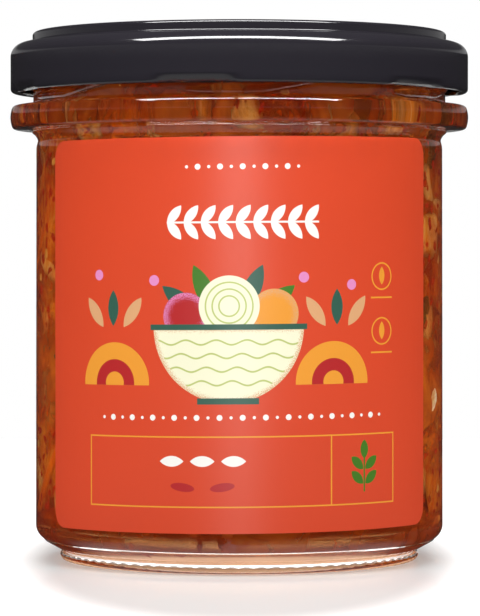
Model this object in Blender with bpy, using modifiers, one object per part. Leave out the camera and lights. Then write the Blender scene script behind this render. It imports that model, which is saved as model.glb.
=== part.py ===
# A 330 ml glass jar of kimchi, closed with a black twist-off lid and dressed with a coral paper label.
# Metres, +Z up. The origin is the centre of the ring that the jar stands on, and the label faces -Y.

import math
import random

import bmesh
import bpy

# Turned shapes
STEPS = 60                      # facets round the jar and the lid
CORE_STEPS = 24                 # facets round the core of the filling
MERGE = 0.00001
GAP = 0.0003                    # clearance between pieces that touch

# Glass: the ring it stands on, the heel and the base
STAND_INNER_RADIUS = 0.0306     # the flat ring that meets the table
STAND_OUTER_RADIUS = 0.0322
STAND_ROUNDING = 0.0012         # outer edge of that ring
GROOVE_RADIUS = 0.0328          # groove between the ring and the heel
GROOVE_HEIGHT = 0.0017
PUSH_UP_RADIUS = 0.0284         # hollow under the base
PUSH_UP_HEIGHT = 0.0022
SEAM_RADIUS = 0.0366            # fine ridge where the base mould meets the body mould
SEAM_HEIGHT = 0.0039
SEAM_DEPTH = 0.0004
HEEL_ROUNDING = 0.0029
HEEL_HEIGHT = 0.00665           # where the heel's rounding meets the wall

# Glass: the wall
BODY_RADIUS_LOW = 0.03815       # the wall draws in a little towards the top
BODY_RADIUS_HIGH = 0.0380
BODY_TOP = 0.0768
WAIST_RADIUS = 0.0377           # hollow under the bead
WAIST_HEIGHT = 0.0783
FIN_RADIUS = 0.0388             # ridge where the neck mould meets the body mould
FIN_HEIGHT = 0.0799
WALL = 0.0027
FLOOR_HEIGHT = 0.0056           # inside floor
FLOOR_ROUNDING = 0.0045

# Glass: the bead and the neck
BEAD_RADIUS = 0.04284
BEAD_HEIGHT = 0.0826            # middle of the bead
BEAD_CROWN = 0.0050             # radius of the bead's bulging face, seen in section
BEAD_CROWN_ANGLE = 20.0
BEAD_CORNER = 0.0007
NECK_RADIUS = 0.03857
NECK_FILLET = 0.0008
NECK_TOP = 0.0949
BORE_RADIUS = 0.0356
BORE_LOW = 0.0820
LIP_RADIUS = 0.0378
LIP_ROUNDING = 0.0006
LIP_HEIGHT = 0.0976
LIP_FOOT = 0.0957

# Glass: the six thread ridges, each a low rib that rises to the right under the lid
THREAD_COUNT = 6
THREAD_RADIUS = 0.0009
THREAD_START = -104.0           # degrees about +Z, at the low end
THREAD_SWEEP = 62.0
THREAD_LEVEL = 20.0             # degrees of the low end that run level
THREAD_LOW = 0.0862
THREAD_RISE = 0.00013           # metres a degree
THREAD_POINTS = 9

# Lid
LID_RADIUS = 0.0428
LID_BOTTOM = 0.0872
LID_SHEET = 0.00055
SHOULDER_RADIUS = 0.0026
SHOULDER_HEIGHT = 0.09385       # top of the straight skirt
RING_OUTER_RADIUS = 0.0387      # raised ring that holds the seal
RING_INNER_RADIUS = 0.0345
RING_TOP = 0.0985
RING_ROUNDING = 0.0006
SHELF_HEIGHT = 0.0966           # foot of the ring, on the shoulder
PANEL_HEIGHT = 0.0973           # sunk middle of the lid
BUTTON_RADIUS = 0.0135          # safety button in the middle
BUTTON_RISE = 0.0005
CURL_RADIUS = 0.0007            # rolled lower edge
LUG_COUNT = 6
LUG_ANGLE = -100.7              # degrees about +Z, middle of the lug nearest the front
LUG_HALF_WIDTH = 11.0           # degrees
LUG_FLANK = 3.5                 # degrees over which a lug's side rises
LUG_DEPTH = 0.0012              # how far the skirt's edge is pressed in
LUG_HEIGHT = 0.0016

# Label
LABEL_HALF_ANGLE = 60.6         # degrees each side of the front
LABEL_BOTTOM = 0.0078
LABEL_TOP = 0.0779
LABEL_CORNER = 0.0032
LABEL_THICKNESS = 0.0002
LABEL_TILT = 0.0075             # rise to the right, metre a metre
LABEL_SLICE = 6.0               # degrees a flat strip of the label spans

# Filling
CORE_DEPTH = 0.0021             # how far the core stays behind the pieces
FILL_TOP = 0.0896
FULL_FOOT_STEP = 0.0010         # the core fills the jar below this height over the floor's rounding
PIECES_TOP = FILL_TOP - 0.0006
PIECES_BOTTOM = 0.0088
PIECE_ROWS = 9
PIECES_ROUND = 7
PIECE_DEPTH = 0.0008            # most that a piece lies back from the glass
PIECE_ROOT = 0.0010             # how far it reaches into the core
PIECE_STRETCH = 0.0090          # length that stays straight between two bends
SEED = 41

FRONT = -90.0                   # degrees about +Z


def clear_scene():
    for scene_object in list(bpy.data.objects):
        bpy.data.objects.remove(scene_object, do_unlink=True)


def new_collection(name):
    collection = bpy.data.collections.new(name)
    bpy.context.scene.collection.children.link(collection)
    return collection


def new_material(name, colour, roughness, metallic, transmission=0.0):
    material = bpy.data.materials.new(name)
    material.use_nodes = True
    shader = material.node_tree.nodes["Principled BSDF"]
    shader.inputs["Base Color"].default_value = (*colour, 1.0)
    shader.inputs["Roughness"].default_value = roughness
    shader.inputs["Metallic"].default_value = metallic
    shader.inputs["Transmission Weight"].default_value = transmission
    material.diffuse_color = (*colour, 1.0)
    return material


def arc(centre_radius, centre_height, radius, start, end, segments):
    # Points of a profile along an arc, its angles in degrees from the outward direction.
    points = []
    for step in range(segments + 1):
        angle = math.radians(start + (end - start) * step / segments)
        points.append((centre_radius + radius * math.cos(angle), centre_height + radius * math.sin(angle)))
    return points


def turned(name, profile, steps, collection, material):
    # The profile runs up the inside and down the outside, and is spun about Z.
    mesh = bpy.data.meshes.new(name)
    points = [(radius, 0.0, height) for radius, height in profile]
    mesh.from_pydata(points, [(i, i + 1) for i in range(len(points) - 1)], [])
    turned_object = bpy.data.objects.new(name, mesh)
    collection.objects.link(turned_object)
    screw = turned_object.modifiers.new("Turn", "SCREW")
    screw.axis = "Z"
    screw.angle = math.tau
    screw.steps = steps
    screw.render_steps = steps
    screw.use_merge_vertices = True
    screw.merge_threshold = MERGE
    mesh.materials.append(material)
    return turned_object


def bake_modifiers(scene_object):
    # Replaces the object's mesh with what its modifiers or its curve make.
    graph = bpy.context.evaluated_depsgraph_get()
    baked = bpy.data.meshes.new_from_object(scene_object.evaluated_get(graph))
    baked.name = scene_object.name
    scene_object.modifiers.clear()
    scene_object.data = baked
    return baked


def shade_round(scene_object, sharp_angle):
    mesh = scene_object.data
    mesh.shade_smooth()
    mesh.set_sharp_from_angle(angle=math.radians(sharp_angle))


def join_all(base, pieces, solver):
    # One Boolean union of the base and every object in the collection, which is then emptied.
    union = base.modifiers.new("Join", "BOOLEAN")
    union.operation = "UNION"
    union.operand_type = "COLLECTION"
    union.collection = pieces
    union.solver = solver
    bake_modifiers(base)
    for piece in list(pieces.objects):
        bpy.data.objects.remove(piece, do_unlink=True)
    bpy.data.collections.remove(pieces)


def keep_largest_shell(mesh):
    # Drops loose scraps, and fills hollows that the union has sealed by dropping their inner shells.
    editable = bmesh.new()
    editable.from_mesh(mesh)
    unseen = set(editable.verts)
    shells = []
    while unseen:
        stack = [unseen.pop()]
        shell = []
        while stack:
            vertex = stack.pop()
            shell.append(vertex)
            for edge in vertex.link_edges:
                other = edge.other_vert(vertex)
                if other in unseen:
                    unseen.remove(other)
                    stack.append(other)
        shells.append(shell)
    shells.sort(key=len)
    for shell in shells[:-1]:
        bmesh.ops.delete(editable, geom=shell, context="VERTS")
    editable.to_mesh(mesh)
    editable.free()


def inner_radius(height):
    # Radius of the jar's inside at a height: the rounded floor, the wall, then the bore of the neck.
    rounding_top = FLOOR_HEIGHT + FLOOR_ROUNDING
    low = BODY_RADIUS_LOW - WALL
    high = BODY_RADIUS_HIGH - WALL
    if height < rounding_top:
        drop = min(rounding_top - height, FLOOR_ROUNDING)
        return low - FLOOR_ROUNDING + math.sqrt(FLOOR_ROUNDING ** 2 - drop ** 2)
    if height < BODY_TOP:
        return low + (high - low) * (height - rounding_top) / (BODY_TOP - rounding_top)
    if height < BORE_LOW:
        return high + (BORE_RADIUS - high) * (height - BODY_TOP) / (BORE_LOW - BODY_TOP)
    return BORE_RADIUS


def jar_inside():
    # From the middle of the inside floor up to the bore.
    low = BODY_RADIUS_LOW - WALL
    profile = [(0.0, FLOOR_HEIGHT)]
    profile += arc(low - FLOOR_ROUNDING, FLOOR_HEIGHT + FLOOR_ROUNDING, FLOOR_ROUNDING, -90, 0, 3)
    profile.append((BODY_RADIUS_HIGH - WALL, BODY_TOP))
    profile.append((BORE_RADIUS, BORE_LOW))
    return profile


def jar_lip():
    # Over the rounded mouth, down to the neck.
    low_centre = LIP_HEIGHT - LIP_ROUNDING
    profile = arc(BORE_RADIUS + LIP_ROUNDING, low_centre, LIP_ROUNDING, 180, 90, 1)
    profile += arc(LIP_RADIUS - LIP_ROUNDING, low_centre, LIP_ROUNDING, 90, 0, 1)
    profile += [(LIP_RADIUS, LIP_FOOT), (NECK_RADIUS, NECK_TOP)]
    return profile


def jar_bead():
    # The heavy ring under the lid: a bulging face between two small rounded corners.
    tilt = math.radians(BEAD_CROWN_ANGLE)
    corner_radius = BEAD_RADIUS - BEAD_CROWN + (BEAD_CROWN - BEAD_CORNER) * math.cos(tilt)
    corner_offset = (BEAD_CROWN - BEAD_CORNER) * math.sin(tilt)
    top = BEAD_HEIGHT + corner_offset + BEAD_CORNER
    profile = arc(NECK_RADIUS + NECK_FILLET, top + NECK_FILLET, NECK_FILLET, 180, 270, 2)
    profile += arc(corner_radius, BEAD_HEIGHT + corner_offset, BEAD_CORNER, 90, BEAD_CROWN_ANGLE, 2)
    profile.append((BEAD_RADIUS, BEAD_HEIGHT))
    profile += arc(corner_radius, BEAD_HEIGHT - corner_offset, BEAD_CORNER, -BEAD_CROWN_ANGLE, -90, 2)
    return profile


def jar_wall():
    # The mould's fin and the hollow under the bead, then the long wall down to the heel.
    return [
        (FIN_RADIUS - 0.0002, FIN_HEIGHT + 0.0004),
        (FIN_RADIUS, FIN_HEIGHT),
        (WAIST_RADIUS + 0.0004, WAIST_HEIGHT + 0.0009),
        (WAIST_RADIUS, WAIST_HEIGHT),
        (BODY_RADIUS_HIGH - 0.0001, WAIST_HEIGHT - 0.0008),
        (BODY_RADIUS_HIGH, BODY_TOP),
    ]


def jar_foot():
    # The rounded heel, the seam, the sloping underside, the groove and the ring it stands on.
    profile = arc(BODY_RADIUS_LOW - HEEL_ROUNDING, HEEL_HEIGHT, HEEL_ROUNDING, 0, -60, 4)
    profile.append((SEAM_RADIUS - SEAM_DEPTH, SEAM_HEIGHT + 0.0001))
    profile.append((SEAM_RADIUS, SEAM_HEIGHT - 0.0001))
    profile.append((GROOVE_RADIUS, GROOVE_HEIGHT))
    profile += arc(STAND_OUTER_RADIUS, STAND_ROUNDING, STAND_ROUNDING, 15, -90, 2)
    profile.append((STAND_INNER_RADIUS, 0.0))
    profile.append((PUSH_UP_RADIUS, PUSH_UP_HEIGHT - 0.0006))
    profile.append((0.0, PUSH_UP_HEIGHT))
    return profile


def thread_ridge(index, collection, material):
    # A rib that lies half sunk in the neck, thin at both ends.
    curve = bpy.data.curves.new("thread_ridge", "CURVE")
    curve.dimensions = "3D"
    curve.bevel_depth = THREAD_RADIUS
    curve.bevel_resolution = 1
    curve.use_fill_caps = True
    spline = curve.splines.new("POLY")
    spline.points.add(THREAD_POINTS - 1)
    for step, point in enumerate(spline.points):
        turn = THREAD_SWEEP * step / (THREAD_POINTS - 1)
        angle = math.radians(THREAD_START + turn + index * 360.0 / THREAD_COUNT)
        height = THREAD_LOW + THREAD_RISE * max(0.0, turn - THREAD_LEVEL)
        point.co = (NECK_RADIUS * math.cos(angle), NECK_RADIUS * math.sin(angle), height, 1.0)
        point.radius = 0.45 if step in (0, THREAD_POINTS - 1) else 1.0
    curve_object = bpy.data.objects.new(f"thread_curve_{index}", curve)
    collection.objects.link(curve_object)
    graph = bpy.context.evaluated_depsgraph_get()
    mesh = bpy.data.meshes.new_from_object(curve_object.evaluated_get(graph))
    weld(mesh)
    mesh.materials.clear()
    mesh.materials.append(material)
    ridge = bpy.data.objects.new(f"thread_ridge_{index}", mesh)
    ridge.matrix_world = curve_object.matrix_world
    bpy.data.objects.remove(curve_object, do_unlink=True)
    collection.objects.link(ridge)
    return ridge


def weld(mesh):
    editable = bmesh.new()
    editable.from_mesh(mesh)
    bmesh.ops.remove_doubles(editable, verts=editable.verts, dist=MERGE)
    bmesh.ops.recalc_face_normals(editable, faces=editable.faces)
    editable.to_mesh(mesh)
    editable.free()


def make_glass(collection):
    material = new_material("clear glass", (0.93, 0.96, 0.94), 0.03, 0.0, transmission=1.0)
    profile = jar_inside() + jar_lip() + jar_bead() + jar_wall() + jar_foot()
    jar = turned("glass_jar", profile, STEPS, collection, material)
    bake_modifiers(jar)
    ridges = new_collection("thread ridges")
    for index in range(THREAD_COUNT):
        thread_ridge(index, ridges, material)
    join_all(jar, ridges, "EXACT")
    shade_round(jar, 35)


def lid_outside():
    # From the middle of the top over the button, panel, ring and shoulder, and down the skirt.
    profile = [
        (0.0, PANEL_HEIGHT + BUTTON_RISE),
        (BUTTON_RADIUS - 0.0025, PANEL_HEIGHT + BUTTON_RISE - 0.0001),
        (BUTTON_RADIUS, PANEL_HEIGHT),
        (RING_INNER_RADIUS - 0.0014, PANEL_HEIGHT),
        (RING_INNER_RADIUS, RING_TOP - 0.0002),
        (RING_INNER_RADIUS + 0.0008, RING_TOP),
    ]
    profile += arc(RING_OUTER_RADIUS - RING_ROUNDING, RING_TOP - RING_ROUNDING, RING_ROUNDING, 90, 0, 2)
    profile.append((RING_OUTER_RADIUS + 0.0002, SHELF_HEIGHT))
    profile += arc(LID_RADIUS - SHOULDER_RADIUS, SHOULDER_HEIGHT, SHOULDER_RADIUS, 90, 0, 4)
    return profile


def lid_rim():
    # The rolled edge, round from the outside of the skirt to its inside.
    centre = LID_RADIUS - CURL_RADIUS
    profile = [(LID_RADIUS, LID_BOTTOM + LUG_HEIGHT)]
    profile += arc(centre, LID_BOTTOM + CURL_RADIUS, CURL_RADIUS, 0, -180, 3)
    profile.append((LID_RADIUS - LID_SHEET, LID_BOTTOM + LUG_HEIGHT))
    return profile


def lid_inside():
    # Back up the inside of the sheet to the middle of the top.
    profile = arc(LID_RADIUS - SHOULDER_RADIUS, SHOULDER_HEIGHT, SHOULDER_RADIUS - LID_SHEET, 0, 90, 2)
    profile += [
        (RING_OUTER_RADIUS - LID_SHEET, SHELF_HEIGHT - LID_SHEET),
        (RING_OUTER_RADIUS - LID_SHEET, RING_TOP - LID_SHEET),
        (RING_INNER_RADIUS + LID_SHEET, RING_TOP - LID_SHEET),
        (RING_INNER_RADIUS - 0.0010, PANEL_HEIGHT - LID_SHEET),
        (0.0, PANEL_HEIGHT - LID_SHEET),
    ]
    return profile


def smooth_step(value):
    value = min(1.0, max(0.0, value))
    return value * value * (3.0 - 2.0 * value)


def press_lugs(mesh):
    # The skirt's lower edge is pressed inwards at each lug, where it grips the thread.
    for vertex in mesh.vertices:
        below = LID_BOTTOM + LUG_HEIGHT - vertex.co.z
        if below <= 0.0:
            continue
        angle = math.degrees(math.atan2(vertex.co.y, vertex.co.x)) - LUG_ANGLE
        pitch = 360.0 / LUG_COUNT
        from_middle = abs((angle + pitch / 2.0) % pitch - pitch / 2.0)
        across = smooth_step((LUG_HALF_WIDTH - from_middle) / LUG_FLANK)
        down = min(1.0, below / LUG_HEIGHT)
        radius = math.hypot(vertex.co.x, vertex.co.y)
        scale = 1.0 - LUG_DEPTH * across * down / radius
        vertex.co.x *= scale
        vertex.co.y *= scale


def make_lid(collection):
    material = new_material("black lacquer", (0.012, 0.011, 0.014), 0.22, 0.0)
    lid = turned("lid", lid_outside() + lid_rim() + lid_inside(), STEPS, collection, material)
    press_lugs(bake_modifiers(lid))
    shade_round(lid, 35)


def make_label(collection):
    # A flat sheet with rounded corners, sliced into upright strips and wrapped round the wall.
    radius = BODY_RADIUS_LOW + GAP
    half_width = math.radians(LABEL_HALF_ANGLE) * radius
    half_height = (LABEL_TOP - LABEL_BOTTOM) / 2.0
    middle = (LABEL_TOP + LABEL_BOTTOM) / 2.0
    sheet = bmesh.new()
    bmesh.ops.create_grid(sheet, x_segments=1, y_segments=1, size=1.0)
    for corner in sheet.verts:
        corner.co.x *= half_width
        corner.co.y *= half_height
    bmesh.ops.bevel(sheet, geom=list(sheet.verts), offset=LABEL_CORNER, segments=4, profile=0.5,
                    affect="VERTICES")
    slices = int(LABEL_HALF_ANGLE // LABEL_SLICE)
    for index in range(-slices, slices + 1):
        cut = math.radians(index * LABEL_SLICE) * radius
        everything = list(sheet.verts) + list(sheet.edges) + list(sheet.faces)
        bmesh.ops.bisect_plane(sheet, geom=everything, dist=MERGE, plane_co=(cut, 0.0, 0.0),
                               plane_no=(1.0, 0.0, 0.0))
    for vertex in sheet.verts:
        along = vertex.co.x
        angle = math.radians(FRONT) + along / radius
        height = middle + vertex.co.y + along * LABEL_TILT
        vertex.co = (radius * math.cos(angle), radius * math.sin(angle), height)
    bmesh.ops.recalc_face_normals(sheet, faces=sheet.faces)
    for face in sheet.faces:
        outward = face.calc_center_median()
        if face.normal.x * outward.x + face.normal.y * outward.y < 0.0:
            face.normal_flip()
    mesh = bpy.data.meshes.new("label")
    sheet.to_mesh(mesh)
    sheet.free()
    mesh.materials.append(new_material("coral paper", (0.82, 0.11, 0.04), 0.5, 0.0))
    label = bpy.data.objects.new("label", mesh)
    collection.objects.link(label)
    wall = label.modifiers.new("Thickness", "SOLIDIFY")
    wall.thickness = LABEL_THICKNESS
    wall.offset = 1.0
    shade_round(label, 35)


def filling_core(collection, material):
    # The packed middle of the filling: full at the floor, then a little behind the pieces.
    low = BODY_RADIUS_LOW - WALL
    rounding_top = FLOOR_HEIGHT + FLOOR_ROUNDING
    profile = [(0.0, FILL_TOP)]
    profile += [(inner_radius(height) - CORE_DEPTH, height)
                for height in (FILL_TOP, BORE_LOW, BODY_TOP, rounding_top + FULL_FOOT_STEP)]
    profile += arc(low - FLOOR_ROUNDING, rounding_top, FLOOR_ROUNDING - GAP, -20, -90, 3)
    profile.append((0.0, FLOOR_HEIGHT + GAP))
    return turned("kimchi", profile, CORE_STEPS, collection, material)


def pressed_piece(name, collection, size, place, lean, draw):
    # A cut piece of leaf or root, bent round the inside of the glass and rooted in the core.
    # size is length and width; place is the angle, the height and the depth behind the glass.
    length, width = size
    angle, height, depth = place
    skew = draw.uniform(-0.15, 0.15)
    long_reach = length / 2.0 + abs(skew) * width
    reach = abs(math.sin(lean)) * long_reach + abs(math.cos(lean)) * width / 2.0
    height = min(PIECES_TOP - reach, max(PIECES_BOTTOM + reach, height))
    block = bmesh.new()
    bmesh.ops.create_cube(block, size=1.0)
    long_edges = [edge for edge in block.edges
                  if abs(edge.verts[0].co.x - edge.verts[1].co.x) > 0.5]
    cuts = max(1, round(length / PIECE_STRETCH) - 1)
    bmesh.ops.subdivide_edges(block, edges=long_edges, cuts=cuts, use_grid_fill=True)
    taper = (draw.uniform(0.5, 1.0), draw.uniform(0.5, 1.0))
    for vertex in block.verts:
        end = 2.0 * vertex.co.x
        narrow = 1.0 - (1.0 - taper[end > 0.0]) * end * end
        along = vertex.co.x * length + 2.0 * skew * vertex.co.y * width
        across = vertex.co.y * width * narrow
        turn = math.cos(lean) * along - math.sin(lean) * across
        level = height + math.sin(lean) * along + math.cos(lean) * across
        behind = GAP + depth if vertex.co.z > 0.0 else CORE_DEPTH + PIECE_ROOT
        radius = inner_radius(level) - behind
        around = math.radians(angle) + turn / inner_radius(height)
        vertex.co = (radius * math.cos(around), radius * math.sin(around), level)
    bmesh.ops.triangulate(block, faces=block.faces)
    mesh = bpy.data.meshes.new(name)
    block.to_mesh(mesh)
    block.free()
    piece = bpy.data.objects.new(name, mesh)
    collection.objects.link(piece)
    return piece


def piece_size(kind, draw):
    # Length and width of a cut piece: broad cabbage, narrow cabbage or a carrot stick.
    if kind == "broad":
        return draw.uniform(0.018, 0.027), draw.uniform(0.009, 0.013)
    if kind == "narrow":
        return draw.uniform(0.018, 0.030), draw.uniform(0.005, 0.007)
    return draw.uniform(0.014, 0.022), draw.uniform(0.0026, 0.0034)


def make_filling(collection):
    material = new_material("kimchi", (0.42, 0.12, 0.03), 0.4, 0.0)
    core = filling_core(collection, material)
    bake_modifiers(core)
    pieces = new_collection("kimchi pieces")
    draw = random.Random(SEED)
    kinds = ["broad", "narrow", "carrot", "broad", "narrow"]
    count = 0
    for row in range(PIECE_ROWS):
        height = PIECES_BOTTOM + (PIECES_TOP - PIECES_BOTTOM) * (row + 0.5) / PIECE_ROWS
        for column in range(PIECES_ROUND):
            kind = kinds[count % len(kinds)]
            angle = 360.0 * (column + 0.5 * (row % 2) + draw.uniform(-0.2, 0.2)) / PIECES_ROUND
            place = (angle, height + draw.uniform(-0.0025, 0.0025), draw.uniform(0.0, PIECE_DEPTH))
            lean = math.radians(draw.uniform(-55.0, 55.0))
            pressed_piece(f"piece_{count}", pieces, piece_size(kind, draw), place, lean, draw)
            count += 1
    join_all(core, pieces, "MANIFOLD")
    keep_largest_shell(core.data)
    core.data.materials.clear()
    core.data.materials.append(material)
    shade_round(core, 40)


def main():
    clear_scene()
    collection = new_collection("kimchi jar")
    make_glass(collection)
    make_lid(collection)
    make_label(collection)
    make_filling(collection)


main()
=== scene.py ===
import math
import random

import bpy
import numpy as np
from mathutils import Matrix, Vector


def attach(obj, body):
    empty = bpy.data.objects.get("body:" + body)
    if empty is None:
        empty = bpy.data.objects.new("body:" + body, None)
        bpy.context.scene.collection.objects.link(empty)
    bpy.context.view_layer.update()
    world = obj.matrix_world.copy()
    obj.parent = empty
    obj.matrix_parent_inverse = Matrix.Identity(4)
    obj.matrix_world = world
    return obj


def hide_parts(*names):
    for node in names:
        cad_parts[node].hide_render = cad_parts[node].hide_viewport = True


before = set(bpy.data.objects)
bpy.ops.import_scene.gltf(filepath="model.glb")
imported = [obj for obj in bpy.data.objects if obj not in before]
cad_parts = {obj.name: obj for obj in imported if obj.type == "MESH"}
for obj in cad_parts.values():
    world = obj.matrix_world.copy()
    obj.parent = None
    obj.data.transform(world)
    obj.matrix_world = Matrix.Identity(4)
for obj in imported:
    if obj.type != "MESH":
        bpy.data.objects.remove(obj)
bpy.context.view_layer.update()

# Looks of a shut glass jar of kimchi with a black twist-off lid and a coral paper label.
# Metres, +Z up, the label faces -Y. The glass is turned finely, and the filling is laid out
# flat, piece by piece, then rolled up inside it.

print("frame loaded")


# shader maths

class Signal:
    # A number flowing through shader nodes, so that shader maths reads as plain Python.
    def __init__(self, paint, socket):
        self.paint = paint
        self.socket = socket

    def maths(self, operation, first, second=0.0):
        made = self.paint.node("Math", {"operation": operation}, {0: first, 1: second})
        return Signal(self.paint, made.outputs[0])

    def __add__(self, other):
        return self.maths("ADD", self, other)

    def __radd__(self, other):
        return self.maths("ADD", other, self)

    def __sub__(self, other):
        return self.maths("SUBTRACT", self, other)

    def __rsub__(self, other):
        return self.maths("SUBTRACT", other, self)

    def __mul__(self, other):
        return self.maths("MULTIPLY", self, other)

    def __rmul__(self, other):
        return self.maths("MULTIPLY", other, self)

    def __truediv__(self, other):
        return self.maths("DIVIDE", self, other)

    def __neg__(self):
        return self.maths("MULTIPLY", self, -1.0)

    def __abs__(self):
        return self.maths("ABSOLUTE", self)

    def atMost(self, other):
        return self.maths("MINIMUM", self, other)

    def root(self):
        return self.maths("SQRT", self)

    def wave(self):
        return self.maths("SINE", self)

    def ramp(self, low, high):
        # 0 below low and 1 above high, eased between them
        made = self.paint.node("MapRange", {"interpolation_type": "SMOOTHSTEP"},
                               {"Value": self, "From Min": low, "From Max": high})
        return Signal(self.paint, made.outputs[0])


class Paint:
    # One material and its nodes.
    def __init__(self, name):
        self.material = bpy.data.materials.new(name)
        self.material.use_nodes = True
        self.tree = self.material.node_tree
        self.tree.nodes.clear()
        self.end = self.tree.nodes.new("ShaderNodeOutputMaterial")

    def node(self, kind, settings=None, inputs=None):
        made = self.tree.nodes.new("ShaderNode" + kind)
        for key, value in (settings or {}).items():
            if key == "stops":
                ramp = made.color_ramp
                while len(ramp.elements) < len(value):
                    ramp.elements.new(1.0)
                for element, (place, colour) in zip(ramp.elements, value):
                    element.position = place
                    element.color = (*colour, 1.0)
            else:
                setattr(made, key, value)
        for key, value in (inputs or {}).items():
            socket = made.inputs[key]
            if isinstance(value, Signal):
                value = value.socket
            if isinstance(value, bpy.types.NodeSocket):
                self.tree.links.new(value, socket)
            elif isinstance(value, tuple) and len(value) == 3 and socket.type == "RGBA":
                socket.default_value = (*value, 1.0)
            else:
                socket.default_value = value
        return made

    def here(self):
        return self.node("TexCoord").outputs["Object"]

    def axes(self, vector):
        parts = self.node("SeparateXYZ", inputs={0: vector})
        return [Signal(self, output) for output in parts.outputs]

    def noise(self, vector, scale, detail=3.0, roughness=0.5, distortion=0.0):
        made = self.node("TexNoise", inputs={"Vector": vector, "Scale": scale, "Detail": detail,
                                             "Roughness": roughness, "Distortion": distortion})
        return Signal(self, made.outputs["Fac"])

    def cells(self, vector, scale):
        # distance to the nearest of many scattered points
        made = self.node("TexVoronoi", inputs={"Vector": vector, "Scale": scale})
        return Signal(self, made.outputs["Distance"])

    def stretched(self, vector, scale):
        return self.node("Mapping", inputs={"Vector": vector, "Scale": scale}).outputs[0]

    def colours(self, factor, stops):
        return self.node("ValToRGB", {"stops": stops}, {0: factor}).outputs["Color"]

    def blend(self, factor, low, high):
        made = self.node("Mix", {"data_type": "RGBA"}, {0: factor, 6: low, 7: high})
        return made.outputs[2]

    def bump(self, height, strength, distance):
        return self.node("Bump", inputs={"Height": height, "Strength": strength,
                                         "Distance": distance}).outputs[0]

    def surface(self, **sockets):
        # Principled shader straight to the output; an underscore in a name stands for a space
        inputs = {key.replace("_", " "): value for key, value in sockets.items()}
        shader = self.node("BsdfPrincipled", inputs=inputs)
        self.tree.links.new(shader.outputs[0], self.end.inputs["Surface"])


# modelling helpers

def startClean():
    if bpy.context.object and bpy.context.object.mode != "OBJECT":
        bpy.ops.object.mode_set(mode="OBJECT")
    bpy.ops.object.select_all(action="DESELECT")


def pick(piece):
    startClean()
    piece.select_set(True)
    bpy.context.view_layer.objects.active = piece


def arcPoints(centre, radius, start, end, count):
    # profile points (radius, height) on an arc, angles in degrees from the outward direction
    points = []
    for step in range(count + 1):
        angle = math.radians(start + (end - start) * step / count)
        points.append((centre[0] + radius * math.cos(angle), centre[1] + radius * math.sin(angle)))
    return points


def subdivided(points, longest):
    # adds points on straight runs, so that no run is longer than this
    fine = [points[0]]
    for here, there in zip(points, points[1:]):
        parts = max(1, math.ceil(math.dist(here, there) / longest))
        for part in range(1, parts + 1):
            share = part / parts
            fine.append((here[0] + (there[0] - here[0]) * share, here[1] + (there[1] - here[1]) * share))
    return fine


def spinProfile(name, outline, steps):
    # one point is drawn out along the outline, then spun round the jar's axis
    startClean()
    bpy.ops.mesh.primitive_plane_add(size=0.001)
    piece = bpy.context.object
    piece.name = name
    piece.data.name = name
    bpy.ops.object.mode_set(mode="EDIT")
    bpy.ops.mesh.merge(type="CENTER")
    bpy.ops.transform.translate(value=(outline[0][0], 0.0, outline[0][1]))
    for here, there in zip(outline, outline[1:]):
        step = (there[0] - here[0], 0.0, there[1] - here[1])
        bpy.ops.mesh.extrude_region_move(TRANSFORM_OT_translate={"value": step})
    bpy.ops.mesh.select_all(action="SELECT")
    bpy.ops.mesh.spin(steps=steps, angle=math.tau, center=(0.0, 0.0, 0.0), axis=(0.0, 0.0, 1.0))
    bpy.ops.mesh.select_all(action="SELECT")
    bpy.ops.mesh.remove_doubles(threshold=0.000002)
    bpy.ops.mesh.normals_make_consistent(inside=False)
    bpy.ops.object.mode_set(mode="OBJECT")
    return piece


def applyAll(piece):
    pick(piece)
    for modifier in list(piece.modifiers):
        bpy.ops.object.modifier_apply(modifier=modifier.name)


def smoothShade(piece, angle):
    pick(piece)
    bpy.ops.object.shade_smooth_by_angle(angle=math.radians(angle))


def finishPiece(piece, node, materials):
    piece.data.materials.clear()
    for material in materials:
        piece.data.materials.append(material)
    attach(piece, "root")
    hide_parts(node)


# glass jar

glass = {
    "steps": 240,
    "knurlEvery": 3,              # columns from one knurl of the standing ring to the next
    "knurlRelief": 1.006,
    "standInner": 0.0306, "standOuter": 0.0322, "standRounding": 0.0012,
    "groove": (0.0328, 0.0017),
    "pushUp": (0.0284, 0.0022),
    "seam": (0.0366, 0.0039), "seamDepth": 0.0004,
    "heelRounding": 0.0029, "heelHeight": 0.00665,
    "bodyLow": 0.03815, "bodyHigh": 0.0380, "bodyTop": 0.0768,
    "waist": (0.0377, 0.0783), "fin": (0.0388, 0.0799),
    "wall": 0.0027, "floor": 0.0056, "floorRounding": 0.0045,
    "bead": 0.04284, "beadHeight": 0.0826, "beadCrown": 0.0050, "beadAngle": 20.0, "beadCorner": 0.0007,
    "neck": 0.03857, "neckFillet": 0.0008, "neckTop": 0.0949,
    "bore": 0.0356, "boreLow": 0.0820,
    "lip": 0.0378, "lipRounding": 0.0006, "lipHeight": 0.0976, "lipFoot": 0.0957,
    "fillTop": 0.0896,
    "clear": (0.955, 0.975, 0.962),
    "ior": 1.5, "wettedIor": 1.12,          # the wetted faces touch brine, so they bend light less
    "smooth": 38,
}

thread = {
    "count": 6, "radius": 0.0009, "start": -104.0, "sweep": 62.0, "level": 20.0,
    "low": 0.0862, "rise": 0.00013, "sides": 12, "cuts": 40, "tipLength": 6.0,
}


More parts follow.
